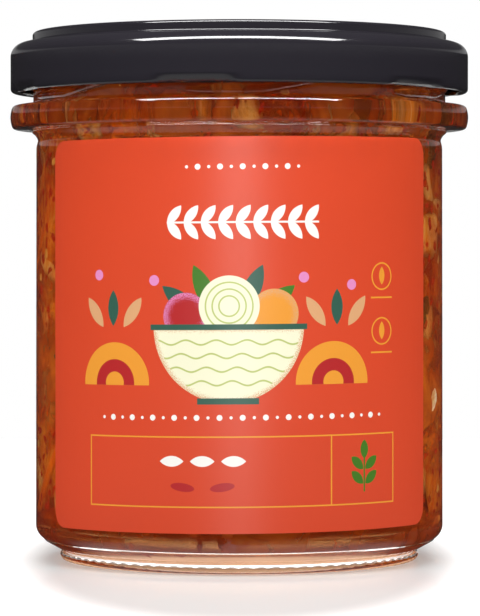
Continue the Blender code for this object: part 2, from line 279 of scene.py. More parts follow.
def insideRadius(height):
    low = glass["bodyLow"] - glass["wall"]
    high = glass["bodyHigh"] - glass["wall"]
    roundTop = glass["floor"] + glass["floorRounding"]
    if height < roundTop:
        drop = min(roundTop - height, glass["floorRounding"])
        return low - glass["floorRounding"] + math.sqrt(glass["floorRounding"] ** 2 - drop ** 2)
    if height < glass["bodyTop"]:
        return low + (high - low) * (height - roundTop) / (glass["bodyTop"] - roundTop)
    if height < glass["boreLow"]:
        share = (height - glass["bodyTop"]) / (glass["boreLow"] - glass["bodyTop"])
        return high + (glass["bore"] - high) * share
    return glass["bore"]


def glassOutline():
    g = glass
    low = g["bodyLow"] - g["wall"]
    inside = [(0.0, g["floor"])]
    inside += arcPoints((low - g["floorRounding"], g["floor"] + g["floorRounding"]),
                        g["floorRounding"], -90, 0, 14)
    inside += [(g["bodyHigh"] - g["wall"], g["bodyTop"]), (g["bore"], g["boreLow"]),
               (g["bore"], g["fillTop"])]
    lipLow = g["lipHeight"] - g["lipRounding"]
    mouth = arcPoints((g["bore"] + g["lipRounding"], lipLow), g["lipRounding"], 180, 90, 5)
    mouth += arcPoints((g["lip"] - g["lipRounding"], lipLow), g["lipRounding"], 90, 0, 5)
    mouth += [(g["lip"], g["lipFoot"]), (g["neck"], g["neckTop"])]
    tilt = math.radians(g["beadAngle"])
    cornerRadius = g["bead"] - g["beadCrown"] + (g["beadCrown"] - g["beadCorner"]) * math.cos(tilt)
    cornerOffset = (g["beadCrown"] - g["beadCorner"]) * math.sin(tilt)
    beadTop = g["beadHeight"] + cornerOffset + g["beadCorner"]
    bead = arcPoints((g["neck"] + g["neckFillet"], beadTop + g["neckFillet"]), g["neckFillet"], 180, 270, 6)
    bead += arcPoints((cornerRadius, g["beadHeight"] + cornerOffset), g["beadCorner"], 90, g["beadAngle"], 7)
    bead += arcPoints((g["bead"] - g["beadCrown"], g["beadHeight"]), g["beadCrown"],
                      g["beadAngle"] - 4, 4 - g["beadAngle"], 8)
    bead += arcPoints((cornerRadius, g["beadHeight"] - cornerOffset), g["beadCorner"],
                      -g["beadAngle"], -90, 7)
    fin, waist = g["fin"], g["waist"]
    wall = [(fin[0] - 0.0002, fin[1] + 0.0004), (fin[0] - 0.00002, fin[1] + 0.00016), (fin[0], fin[1]),
            (fin[0] - 0.0001, fin[1] - 0.0002), (waist[0] + 0.0005, waist[1] + 0.0010),
            (waist[0] + 0.00012, waist[1] + 0.0004), (waist[0], waist[1]),
            (waist[0] + 0.00012, waist[1] - 0.0005), (g["bodyHigh"] - 0.00005, waist[1] - 0.0010),
            (g["bodyHigh"], g["bodyTop"])]
    foot = arcPoints((g["bodyLow"] - g["heelRounding"], g["heelHeight"]), g["heelRounding"], 0, -60, 14)
    seam, groove = g["seam"], g["groove"]
    foot += [(seam[0] - g["seamDepth"], seam[1] + 0.00018), (seam[0] - 0.0001, seam[1] + 0.00012),
             (seam[0], seam[1]), (seam[0] - 0.0001, seam[1] - 0.00012)]
    foot += [(groove[0] + 0.0003, groove[1] + 0.0002), (groove[0], groove[1])]
    foot += arcPoints((g["standOuter"], g["standRounding"]), g["standRounding"], 15, -90, 8)
    foot += [(g["standInner"], 0.0), (g["standInner"] - 0.0002, 0.0012),
             (g["standInner"] - 0.0006, g["pushUp"][1] - 0.0006), (g["pushUp"][0], g["pushUp"][1] - 0.0002),
             (0.0, g["pushUp"][1])]
    return subdivided(inside + mouth + bead + wall + foot, 0.004)


def raiseKnurls(jar):
    # every third column of the standing ring's rounded edge stands out a little
    pick(jar)
    bpy.ops.object.mode_set(mode="EDIT")
    bpy.ops.mesh.select_mode(type="VERT")
    bpy.ops.mesh.select_all(action="DESELECT")
    bpy.ops.object.mode_set(mode="OBJECT")
    column = 360.0 / glass["steps"]
    for vertex in jar.data.vertices:
        radius = math.hypot(vertex.co.x, vertex.co.y)
        turn = round(math.degrees(math.atan2(vertex.co.y, vertex.co.x)) / column)
        outside = glass["standOuter"] + 0.0002 < radius
        inRing = outside and 0.00005 < vertex.co.z < glass["groove"][1] - 0.0002
        vertex.select = inRing and turn % glass["knurlEvery"] == 0
    bpy.ops.object.mode_set(mode="EDIT")
    relief = glass["knurlRelief"]
    bpy.ops.transform.resize(value=(relief, relief, 1.0), center_override=(0.0, 0.0, 0.0))
    bpy.ops.object.mode_set(mode="OBJECT")


def threadRidge(index):
    # a rod is cut into short lengths, drawn thin at both ends and rolled round the neck
    startClean()
    length = math.radians(thread["sweep"]) * glass["neck"]
    bpy.ops.mesh.primitive_cylinder_add(vertices=thread["sides"], radius=thread["radius"], depth=length,
                                        rotation=(0.0, math.pi / 2, 0.0))
    ridge = bpy.context.object
    ridge.name = "threadRidge"
    bpy.ops.object.transform_apply(location=True, rotation=True, scale=True)
    bpy.ops.object.mode_set(mode="EDIT")
    for cut in range(1, thread["cuts"]):
        bpy.ops.mesh.select_all(action="SELECT")
        along = length * (cut / thread["cuts"] - 0.5)
        bpy.ops.mesh.bisect(plane_co=(along, 0.0, 0.0), plane_no=(1.0, 0.0, 0.0))
    bpy.ops.object.mode_set(mode="OBJECT")
    for vertex in ridge.data.vertices:
        turn = (vertex.co.x / length + 0.5) * thread["sweep"]
        fromEnd = min(turn, thread["sweep"] - turn)
        thin = 0.35 + 0.65 * math.sin(min(1.0, fromEnd / thread["tipLength"]) * math.pi / 2)
        angle = math.radians(thread["start"] + turn + index * 360.0 / thread["count"])
        height = thread["low"] + thread["rise"] * max(0.0, turn - thread["level"]) + vertex.co.z * thin
        radius = glass["neck"] + vertex.co.y * thin
        vertex.co = (radius * math.cos(angle), radius * math.sin(angle), height)
    bpy.ops.object.mode_set(mode="EDIT")
    bpy.ops.mesh.select_all(action="SELECT")
    bpy.ops.mesh.normals_make_consistent(inside=False)
    bpy.ops.object.mode_set(mode="OBJECT")
    return ridge


def clearGlass(name, ior):
    paint = Paint(name)
    here = paint.here()
    ripple = paint.noise(paint.stretched(here, (1.0, 1.0, 0.35)), 90.0, 1.0)
    normal = paint.bump(ripple, 0.10, 0.0006)
    paint.surface(Base_Color=glass["clear"], Roughness=0.0, IOR=ior, Transmission_Weight=1.0, Normal=normal)
    return paint.material


def makeGlass():
    jar = spinProfile("glassJar", glassOutline(), glass["steps"])
    raiseKnurls(jar)
    for index in range(thread["count"]):
        ridge = threadRidge(index)
        join = jar.modifiers.new("ridge", "BOOLEAN")
        join.operation = "UNION"
        join.solver = "MANIFOLD"
        join.object = ridge
        applyAll(jar)
        bpy.data.objects.remove(ridge, do_unlink=True)
    dry = clearGlass("clearGlass", glass["ior"])
    wetted = clearGlass("wettedGlass", glass["wettedIor"])
    finishPiece(jar, "glass_jar", [dry, wetted])
    for face in jar.data.polygons:
        centre = face.center
        radius = math.hypot(centre.x, centre.y)
        inHollow = glass["floor"] - 0.0001 < centre.z < glass["fillTop"]
        face.material_index = 1 if inHollow and radius < insideRadius(centre.z) + 0.0002 else 0
    smoothShade(jar, glass["smooth"])


makeGlass()
print("glass made")


# lid

lid = {
    "steps": 240,
    "radius": 0.0428, "bottom": 0.0872, "sheet": 0.00055,
    "shoulder": 0.0026, "shoulderHeight": 0.09385,
    "ringOuter": 0.0387, "ringInner": 0.0345, "ringTop": 0.0985, "ringRounding": 0.0006,
    "shelf": 0.0966, "panel": 0.0973, "button": 0.0135, "buttonRise": 0.0005,
    "curl": 0.0007,
    "lugs": 6, "lugAngle": -100.7, "lugHalfWidth": 11.0, "lugFlank": 3.5, "lugDepth": 0.0012,
    "lugHeight": 0.0016,
    "black": (0.0085, 0.0076, 0.0100), "dust": (0.30, 0.29, 0.28),
    "smooth": 50,
}


def lidOutline():
    k = lid
    raised = k["panel"] + k["buttonRise"]
    top = [(0.0, raised), (k["button"] - 0.0040, raised - 0.00005), (k["button"] - 0.0022, raised - 0.00018),
           (k["button"] - 0.0008, k["panel"] + 0.00006), (k["button"], k["panel"])]
    top += [(k["ringInner"] - 0.0030, k["panel"]), (k["ringInner"] - 0.0018, k["panel"] + 0.00008),
            (k["ringInner"] - 0.0006, k["ringTop"] - 0.00055), (k["ringInner"], k["ringTop"] - 0.0002),
            (k["ringInner"] + 0.0008, k["ringTop"])]
    top += arcPoints((k["ringOuter"] - k["ringRounding"], k["ringTop"] - k["ringRounding"]),
                     k["ringRounding"], 90, 5, 8)
    foot = 0.0004
    top += arcPoints((k["ringOuter"] + foot, k["shelf"] + foot * 0.8), foot, 180, 270, 5)
    top += arcPoints((k["radius"] - k["shoulder"], k["shoulderHeight"]), k["shoulder"], 84, 0, 16)
    rim = [(k["radius"], k["bottom"] + k["lugHeight"] + 0.0003), (k["radius"], k["bottom"] + k["lugHeight"])]
    rim += arcPoints((k["radius"] - k["curl"], k["bottom"] + k["curl"]), k["curl"], 0, -180, 12)
    rim += [(k["radius"] - k["sheet"], k["bottom"] + k["lugHeight"])]
    under = arcPoints((k["radius"] - k["shoulder"], k["shoulderHeight"]), k["shoulder"] - k["sheet"],
                      0, 90, 6)
    under += [(k["ringOuter"] - k["sheet"], k["shelf"] - k["sheet"]),
              (k["ringOuter"] - k["sheet"], k["ringTop"] - k["sheet"]),
              (k["ringInner"] + k["sheet"], k["ringTop"] - k["sheet"]),
              (k["ringInner"] - 0.0010, k["panel"] - k["sheet"]), (0.0, k["panel"] - k["sheet"])]
    return subdivided(top + rim + under, 0.003)


def pressLugs(piece):
    # the skirt's lower edge is pressed inwards where it grips the thread
    pitch = 360.0 / lid["lugs"]
    for vertex in piece.data.vertices:
        below = lid["bottom"] + lid["lugHeight"] - vertex.co.z
        if below <= 0.0:
            continue
        angle = math.degrees(math.atan2(vertex.co.y, vertex.co.x)) - lid["lugAngle"]
        fromMiddle = abs((angle + pitch / 2) % pitch - pitch / 2)
        across = min(1.0, max(0.0, (lid["lugHalfWidth"] - fromMiddle) / lid["lugFlank"]))
        across = across * across * (3.0 - 2.0 * across)
        down = min(1.0, below / lid["lugHeight"])
        scale = 1.0 - lid["lugDepth"] * across * down / math.hypot(vertex.co.x, vertex.co.y)
        vertex.co.x *= scale
        vertex.co.y *= scale


def blackLacquer():
    paint = Paint("blackLacquer")
    here = paint.here()
    peel = paint.noise(here, 900.0, 2.0)
    wear = paint.noise(here, 160.0, 4.0)
    dust = paint.cells(here, 1500.0).ramp(0.07, 0.03) * paint.noise(here, 400.0, 2.0).ramp(0.60, 0.70)
    colour = paint.blend(dust * 0.10, lid["black"], lid["dust"])
    rough = 0.07 + wear * 0.08
    paint.surface(Base_Color=colour, Roughness=rough, Normal=paint.bump(peel, 0.03, 0.0002))
    return paint.material


def makeLid():
    piece = spinProfile("twistOffLid", lidOutline(), lid["steps"])
    pressLugs(piece)
    finishPiece(piece, "lid", [blackLacquer()])
    smoothShade(piece, lid["smooth"])


makeLid()
print("lid made")


# label

label = {
    "halfAngle": 60.6, "bottom": 0.0078, "top": 0.0779, "corner": 0.0032, "thick": 0.00012,
    "gap": 0.00030, "tilt": 0.0075, "strip": 2.0,
    "coral": (0.545, 0.040, 0.004),
    "smooth": 40,
}

inks = {
    "cream": (0.69, 0.68, 0.49), "white": (0.72, 0.70, 0.66), "yellow": (0.66, 0.25, 0.012),
    "red": (0.37, 0.005, 0.006), "darkGreen": (0.022, 0.090, 0.060), "leafGreen": (0.042, 0.16, 0.006),
    "paleGreen": (0.38, 0.44, 0.12), "tan": (0.56, 0.29, 0.13), "pink": (0.60, 0.20, 0.42),
}


class Print(Paint):
    # Printed shapes on the label, in millimetres: u to the right of the middle, v up from the table.
    def __init__(self, name, colour):
        super().__init__(name)
        flat = self.axes(self.node("UVMap", {"uv_map": "sheet"}).outputs[0])
        radius = (glass["bodyLow"] + label["gap"]) * 1000.0
        self.width = 2.0 * math.radians(label["halfAngle"]) * radius
        self.u = (flat[0] - 0.5) * self.width
        self.v = flat[1] * ((label["top"] - label["bottom"]) * 1000.0) + label["bottom"] * 1000.0
        self.colour = colour
        self.grain = self.noise(self.node("CombineXYZ", inputs={0: self.u, 1: self.v}).outputs[0], 7.0, 1.0)

    def put(self, inside, ink, soft=0.05):
        # inside is a distance in millimetres, positive inside the shape
        self.colour = self.blend(inside.ramp(-soft, soft), self.colour, inks[ink])

    def speckle(self, inside, ink, low, high):
        # grain that thins out from low to high millimetres inside the shape's edge
        mask = inside.ramp(-0.05, 0.05) * (self.grain - inside.ramp(low, high) * 0.35).ramp(0.44, 0.50)
        self.colour = self.blend(mask, self.colour, inks[ink])

    def disc(self, u, v, radius):
        across, up = self.u - u, self.v - v
        return radius - (across * across + up * up).root()

    def ellipse(self, u, v, wide, high, turn=0.0):
        across, up = self.turned(u, v, turn)
        across, up = across / wide, up / high
        return (1.0 - (across * across + up * up).root()) * min(wide, high)

    def turned(self, u, v, turn):
        c, s = math.cos(math.radians(turn)), math.sin(math.radians(turn))
        across, up = self.u - u, self.v - v
        return across * c + up * s, up * c - across * s

    def leaf(self, u, v, turn, length, width):
        # two arcs that meet in points at both ends
        along, over = self.turned(u, v, turn)
        half, rise = length / 2.0, width / 2.0
        radius = (half * half + rise * rise) / (2.0 * rise)
        over = abs(over) + (radius - rise)
        return radius - (along * along + over * over).root()

    def bar(self, u, v, wide, high, turn=0.0):
        along, over = self.turned(u, v, turn)
        return (wide / 2.0 - abs(along)).atMost(high / 2.0 - abs(over))

    def frameLine(self, u, v, wide, high, line):
        outside = self.bar(u, v, wide + line, high + line)
        return outside.atMost(-self.bar(u, v, wide - line, high - line))


def printLabel():
    p = Print("printedPaper", label["coral"])

    # a bowl of vegetables in the middle of the sheet
    bowl = p.disc(-2.0, 44.5, 13.6).atMost(44.2 - p.v)
    for side in (-1, 1):
        sun = p.disc(side * 20.5 - 3.2, 34.4, 7.2).atMost(p.v - 34.0)
        p.put(sun, "yellow")
        p.put(p.disc(side * 20.5 - 3.2, 34.4, 4.2).atMost(p.v - 34.0), "red")
        p.put(p.disc(side * 20.5 - 3.2, 34.4, 2.0).atMost(p.v - 34.0), "yellow")
        for leafTurn in (55.0, 90.0, 125.0):
            reach = math.radians(leafTurn)
            p.put(p.leaf(side * 21.0 - 3.0 + 7.2 * math.cos(reach), 43.5 + 4.2 * math.sin(reach),
                         leafTurn, 6.4, 2.3), "darkGreen" if leafTurn == 90.0 else "tan")
    bunch = ((38.0, "leafGreen"), (66.0, "darkGreen"), (114.0, "leafGreen"), (142.0, "darkGreen"))
    for leafTurn, ink in bunch:
        reach = math.radians(leafTurn)
        p.put(p.leaf(-2.0 + 10.4 * math.cos(reach), 44.0 + 7.6 * math.sin(reach), leafTurn, 9.5, 3.2), ink)
    balls = ((-9.6, 46.3, 4.1, "red"), (6.2, 46.6, 4.4, "yellow"), (-1.8, 48.0, 5.4, "cream"))
    for u, v, radius, ink in balls:
        ball = p.disc(u, v, radius)
        p.put(ball, ink)
        if ink == "cream":
            for ring in (4.2, 3.0, 1.8):
                p.put(0.14 - abs(p.disc(u, v, ring)), "paleGreen")
        else:
            p.speckle(ball, "pink" if ink == "red" else "tan", 0.2, radius * 0.6)
    p.put(bowl, "cream")
    for line in range(4):
        level = 41.6 - 2.4 * line
        ripple = 0.16 - abs(p.v - level - (p.u * 1.15 + line).wave() * 0.42)
        p.put(ripple.atMost(bowl - 0.7), "paleGreen")
    p.speckle(bowl, "tan", 0.1, 1.7)
    p.put(p.bar(-2.0, 44.3, 28.4, 1.0), "darkGreen")
    p.put(p.bar(-2.0, 31.2, 11.0, 1.1), "darkGreen")
    for u, v in ((-27.3, 53.6), (-15.5, 52.6), (11.6, 53.0), (21.0, 51.6)):
        p.put(p.disc(u, v, 0.95), "pink")

    # a plain garland over the bowl, and rows of dots where a jar has its small lines
    for step in range(-4, 5):
        for side in (-1, 1):
            p.put(p.leaf(step * 3.1 + 0.7, 62.8 + side * 1.35, side * 52.0, 4.2, 1.7), "white")
    p.put(p.bar(0.7, 62.8, 27.5, 0.34), "white")
    for row, low, high, gap in ((72.6, -5, 5, 2.0), (28.3, -13, 13, 2.05)):
        for step in range(low, high + 1):
            small = 0.28 if step % 2 else 0.52
            p.put(p.disc(step * gap + 0.6, row, small), "white")

    # two round badges at the right
    for row, ink in ((53.0, "yellow"), (43.2, "yellow")):
        p.put(0.14 - abs(p.disc(27.9, row, 2.35)), ink)
        p.put(p.leaf(27.9, row + 0.1, 90.0, 3.2, 1.35), ink)
        p.put(p.bar(27.9, row - 2.9 - 0.9, 5.2, 0.3), ink)

    # the framed panel below
    p.put(p.frameLine(0.75, 18.7, 60.1, 12.4, 0.26), "yellow")
    p.put(p.bar(16.9, 18.7, 0.26, 12.4), "yellow")
    for step in (-1, 0, 1):
        p.put(p.leaf(-6.6 + step * 5.6, 20.6, 0.0, 4.4, 1.9), "white")
    for step in (-1, 1):
        p.put(p.ellipse(-6.6 + step * 3.6, 16.0, 2.2, 0.75, 8.0 * step), "red")
    p.put(p.bar(23.8, 17.6, 0.32, 6.0), "leafGreen")
    for side in (-1, 1):
        for level in (16.6, 19.2):
            leafTurn = 42.0 if side > 0 else 138.0
            p.put(p.leaf(23.8 + side * 1.5, level + 0.6, leafTurn, 3.4, 1.7), "leafGreen")
    p.put(p.leaf(23.8, 22.2, 90.0, 3.4, 1.7), "leafGreen")

    here = p.here()
    fibre = p.noise(p.stretched(here, (1.0, 1.0, 0.5)), 1400.0, 3.0)
    mottle = p.noise(here, 60.0, 3.0)
    shade = p.node("HueSaturation", inputs={"Value": 0.965 + mottle * 0.07, "Color": p.colour})
    p.surface(Base_Color=shade.outputs[0], Roughness=0.36 + fibre * 0.08, Specular_IOR_Level=0.5,
              Normal=p.bump(fibre, 0.10, 0.00012))
    return p.material


def plainPaper():
    paint = Paint("paperBack")
    fibre = paint.noise(paint.here(), 900.0, 3.0)
    colour = paint.colours(fibre, [(0.3, (0.80, 0.76, 0.70)), (0.7, (0.88, 0.85, 0.80))])
    paint.surface(Base_Color=colour, Roughness=0.8, Normal=paint.bump(fibre, 0.2, 0.0001))
    return paint.material


def makeLabel():
    # a sheet is cut to size, its corners rounded, then rolled round the wall in narrow strips
    startClean()
    radius = glass["bodyLow"] + label["gap"]
    wide = 2.0 * math.radians(label["halfAngle"]) * radius
    high = label["top"] - label["bottom"]
    middle = (label["top"] + label["bottom"]) / 2.0
    bpy.ops.mesh.primitive_plane_add(size=1.0)
    sheet = bpy.context.object
    sheet.name = "paperLabel"
    bpy.ops.object.mode_set(mode="EDIT")
    bpy.ops.transform.resize(value=(wide, high, 1.0))
    bpy.ops.mesh.bevel(offset=label["corner"], segments=10, affect="VERTICES")
    strips = int(label["halfAngle"] // label["strip"])
    for strip in range(-strips, strips + 1):
        bpy.ops.mesh.select_all(action="SELECT")
        cut = math.radians(strip * label["strip"]) * radius
        bpy.ops.mesh.bisect(plane_co=(cut, 0.0, 0.0), plane_no=(1.0, 0.0, 0.0))
    bpy.ops.object.mode_set(mode="OBJECT")
    layer = sheet.data.uv_layers.active or sheet.data.uv_layers.new()
    layer.name = "sheet"
    for loop in sheet.data.loops:
        flat = sheet.data.vertices[loop.vertex_index].co
        layer.data[loop.index].uv = (flat.x / wide + 0.5, flat.y / high + 0.5)
    for vertex in sheet.data.vertices:
        along, up = vertex.co.x, vertex.co.y
        angle = along / radius - math.pi / 2.0
        vertex.co = (radius * math.cos(angle), radius * math.sin(angle), middle + up + along * label["tilt"])
    sheet.data.update()
    if sheet.data.polygons[0].normal.dot(sheet.data.polygons[0].center) < 0.0:
        sheet.data.flip_normals()
    thick = sheet.modifiers.new("thick", "SOLIDIFY")
    thick.thickness = label["thick"]
    thick.offset = -1.0
    thick.material_offset = 1
    thick.material_offset_rim = 1
    finishPiece(sheet, "label", [printLabel(), plainPaper()])
    applyAll(sheet)
    smoothShade(sheet, label["smooth"])


makeLabel()
print("label made")


# filling

filling = {
    "columns": 240, "rows": 150,
    "top": 0.0894, "floorRise": 0.0010,
    "intoWall": 0.00006,                    # how far the brine reaches into the glass
    "coreDepth": 0.0016, "coreRelief": 0.0007, "lumpSize": 0.006,
    "layRadius": 0.0354, "layLow": 0.0080, "layHigh": 0.0885,
    "seed": 7,
}

# Each kind of piece: how many, ranges of size and of depth behind the glass, greatest tilt in degrees.
leaves = {
    "count": 128, "length": (0.014, 0.028), "width": (0.007, 0.014), "thick": (0.0008, 0.0014),
    "depth": (0.0002, 0.0011), "lean": 70.0, "curl": 0.10, "rough": 0.12, "smooth": 80,
}
ribs = {
    "count": 84, "length": (0.009, 0.022), "width": (0.005, 0.010), "thick": (0.0018, 0.0028),
    "depth": (-0.00010, 0.0007), "lean": 75.0, "curl": 0.12, "rough": 0.12, "smooth": 80,
}
carrots = {
    "count": 34, "length": (0.014, 0.022), "width": (0.0022, 0.0030), "thick": (0.0020, 0.0026),
    "depth": (-0.00008, 0.0004), "lean": 80.0, "curl": 0.05, "rough": 0.05, "smooth": 60,
}
greens = {
    "count": 18, "length": (0.008, 0.016), "width": (0.003, 0.006), "thick": (0.0006, 0.0010),
    "depth": (-0.00006, 0.0003), "lean": 80.0, "curl": 0.16, "rough": 0.14, "smooth": 80,
}
flakes = {
    "count": 1500, "length": (0.0008, 0.0022), "width": (0.0006, 0.0014), "thick": (0.0002, 0.0004),
    "depth": (-0.00010, 0.0002), "lean": 180.0, "curl": 0.0, "rough": 0.25, "smooth": 0,
}
seeds = {
    "count": 150, "length": (0.0014, 0.0019), "width": (0.0011, 0.0015), "thick": (0.0003, 0.0005),
    "depth": (-0.00010, 0.0001), "lean": 180.0, "curl": 0.0, "rough": 0.10, "smooth": 60,
}

food = {
    "stain": (0.56, 0.070, 0.003), "speck": (0.36, 0.022, 0.004), "deep": (0.27, 0.022, 0.001),
    "gloss": 0.22, "mirror": 0.06,          # wet through, so it hardly mirrors light
}

brine = {
    "stops": [(0.30, (0.25, 0.020, 0.001)), (0.50, (0.48, 0.065, 0.003)), (0.70, (0.66, 0.15, 0.008))],
    "tint": (0.99, 0.77, 0.48),
    # where it is cloudy, and where it is painted pale over the floor as light from the table below, in
    # millimetres up from the table or in from the glass
    "uneven": 44.0, "bandRise": (20.0, 29.0), "bandFall": (40.0, 49.0), "neck": (77.0, 84.0),
    "floor": (5.75, 6.8), "heel": (7.0, 11.0), "inward": (4.4, 7.4),
    # the last colour is painted light: the pale of brine over the floor, lit by the table through the clear
    # base
    "neckColour": (0.22, 0.014, 0.0), "heelColour": (0.32, 0.024, 0.0), "paintedFloorLight": (0.95, 0.60, 0.37),
}


def finishFilling(piece, materials):
    finishPiece(piece, "kimchi", materials)


def rollUp(points):
    # flat layout to jar: x runs round the inside of the glass, y is depth behind it, z is height
    heights = points[:, 2]
    radii = np.array([insideRadius(h) for h in heights]) - points[:, 1]
    angles = points[:, 0]
    return np.stack([radii * np.cos(angles), radii * np.sin(angles), heights], axis=1)


def meshOf(name, points, faces):
    mesh = bpy.data.meshes.new(name)
    mesh.from_pydata([tuple(p) for p in points], [], faces)
    mesh.update()
    piece = bpy.data.objects.new(name, mesh)
    bpy.context.scene.collection.objects.link(piece)
    return piece


def blobForm(cuts, smooth):
    # a cube is subdivided and rounded into a soft slab, two units across
    startClean()
    bpy.ops.mesh.primitive_cube_add(size=2.0)
    blob = bpy.context.object
    bpy.ops.object.mode_set(mode="EDIT")
    bpy.ops.mesh.subdivide(number_cuts=cuts, smoothness=smooth)
    bpy.ops.object.mode_set(mode="OBJECT")
    points = np.array([v.co[:] for v in blob.data.vertices])
    faces = [tuple(f.vertices) for f in blob.data.polygons]
    bpy.data.objects.remove(blob, do_unlink=True)
    return points, faces


def roundedSlab(points, corner, edge):
    # squares the circle: rounds the outline by corner and the rim by edge (1 is fully round)
    flat = points[:, :2]
    largest = np.maximum(np.abs(flat).max(axis=1), 1e-9)
    length = np.maximum(np.linalg.norm(flat, axis=1), 1e-9)
    disc = flat * (largest / length)[:, None]
    shaped = points.copy()
    shaped[:, :2] = flat * (1.0 - corner) + disc * corner
    reach = np.clip(largest, 0.0, 1.0)
    shaped[:, 2] *= np.sqrt(np.clip(1.0 - edge * reach ** 4, 0.02, 1.0))
    return shaped


def wobble(points, draw, size, amount):
    # smooth random waves, so that no two pieces have the same outline
    moved = points.copy()
    for axis in range(3):
        for _ in range(3):
            direction = np.array([draw.uniform(-1, 1) for _ in range(3)])
            phase = draw.uniform(0, math.tau)
            moved[:, axis] += amount * np.sin(points @ direction * size + phase)
    return moved


def scatter(name, form, kind, draw):
    # places copies of a form round the glass on an uneven grid
    allPoints, allFaces = [], []
    formPoints, formFaces = form
    start = 0
    low, high, around = filling["layLow"], filling["layHigh"], filling["layRadius"]
    rowCount = max(1, round(math.sqrt(kind["count"] * (high - low) / (math.tau * around))))
    perRow = math.ceil(kind["count"] / rowCount)
    for index in range(kind["count"]):
        row, column = divmod(index, perRow)
        length, width, thick = (draw.uniform(*kind[size]) for size in ("length", "width", "thick"))
        angle = math.tau * (column + 0.5 * (row % 2) + draw.uniform(-0.35, 0.35)) / perRow
        turn = math.radians(draw.uniform(-kind["lean"], kind["lean"]))
        height = low + (high - low) * (row + 0.5 + draw.uniform(-0.4, 0.4)) / rowCount
        reach = abs(math.sin(turn)) * length / 2 + abs(math.cos(turn)) * width / 2
        height = min(high - reach, max(low + reach, height))
        depth = draw.uniform(*kind["depth"])
        points = wobble(formPoints, draw, 2.2, kind["rough"])
        along, across = points[:, 0] * length / 2, points[:, 1] * width / 2
        bend = np.sin(points[:, 0] * draw.uniform(1.0, 2.2) + draw.uniform(0, 6))
        across = across + kind["curl"] * width * bend
        inward = depth - points[:, 2] * thick / 2 + thick / 2
        sideways = math.cos(turn) * along - math.sin(turn) * across
        up = math.sin(turn) * along + math.cos(turn) * across
        flat = np.stack([angle + sideways / around, np.maximum(inward, -0.00012),
                         np.clip(height + up, low, high)], axis=1)
        allPoints.append(rollUp(flat))
        allFaces += [tuple(v + start for v in face) for face in formFaces]
        start += len(formPoints)
    piece = meshOf(name, np.concatenate(allPoints), allFaces)
    pick(piece)
    bpy.ops.object.mode_set(mode="EDIT")
    bpy.ops.mesh.select_all(action="SELECT")
    bpy.ops.mesh.normals_make_consistent(inside=False)
    bpy.ops.object.mode_set(mode="OBJECT")
    return piece


def depthBehindGlass(paint, here):
    # millimetres between a point and the inside of the glass
    x, y = paint.axes(here)[:2]
    return ((glass["bodyLow"] - glass["wall"]) - (x * x + y * y).root()) * 1000.0


def kimchiPaint(name, stops, scale, stain, relief=0.35, veins=0.0):
    # a food surface: own colours by noise, red stain in patches, and brine over what lies deep
    paint = Paint(name)
    here = paint.here()
    patch = paint.noise(here, scale, 4.0, 0.6, 0.6)
    colour = paint.colours(patch, stops)
    if veins:
        streaks = paint.noise(paint.stretched(here, (1.0, 1.0, 0.22)), 520.0, 2.0, 0.5, 1.2)
        colour = paint.blend(streaks.ramp(0.46, 0.62) * veins, colour, stops[-1][1])
    smear = paint.noise(here, 150.0, 5.0, 0.65, 0.8)
    colour = paint.blend(smear.ramp(0.46, 0.66) * stain, colour, food["stain"])
    specks = paint.cells(here, 900.0).ramp(0.30, 0.12) * paint.noise(here, 220.0, 2.0).ramp(0.50, 0.60)
    colour = paint.blend(specks * 0.75, colour, food["speck"])
    deep = depthBehindGlass(paint, here).ramp(0.05, 1.5)
    colour = paint.blend(deep * 0.80, colour, food["deep"])
    paint.surface(Base_Color=colour, Roughness=food["gloss"] + patch * 0.2,
                  Specular_IOR_Level=food["mirror"], Normal=paint.bump(patch + smear * 0.5, relief, 0.0006))
    return paint.material


def brineCore():
    # the middle: a fine turned body whose skin is pushed in and out by its own unevenness
    f = filling
    outline = [(0.0, f["top"])]
    levels = np.linspace(f["top"], glass["floor"] + glass["floorRounding"] + 0.0006, f["rows"])
    outline += [(insideRadius(level) - f["coreDepth"], level) for level in levels]
    low = glass["bodyLow"] - glass["wall"]
    outline += arcPoints((low - glass["floorRounding"], glass["floor"] + glass["floorRounding"]),
                         glass["floorRounding"] - 0.0001, -20, -90, 6)
    outline += [(0.0, glass["floor"] + f["floorRise"])]
    core = spinProfile("kimchiCore", outline, f["columns"])
    lumps = bpy.data.textures.new("lumps", "CLOUDS")
    lumps.noise_scale = f["lumpSize"]
    lumps.noise_depth = 4
    push = core.modifiers.new("lumps", "DISPLACE")
    push.texture = lumps
    push.texture_coords = "LOCAL"
    push.strength = f["coreRelief"] * 2.0
    push.mid_level = 0.5
    applyAll(core)
    return core


def brineFilm():
    # the skin of the brine, which reaches just into the wall
    f = filling
    outline = [(0.0, f["top"] + 0.0001)]
    levels = [f["top"] + 0.0001, glass["boreLow"], glass["bodyTop"]]
    outline += [(insideRadius(level) + f["intoWall"], level) for level in levels]
    low = glass["bodyLow"] - glass["wall"]
    outline += arcPoints((low - glass["floorRounding"], glass["floor"] + glass["floorRounding"]),
                         glass["floorRounding"] + f["intoWall"], 0, -90, 12)
    outline += [(0.0, glass["floor"] - f["intoWall"])]
    return spinProfile("kimchiBrine", subdivided(outline, 0.004), glass["steps"])


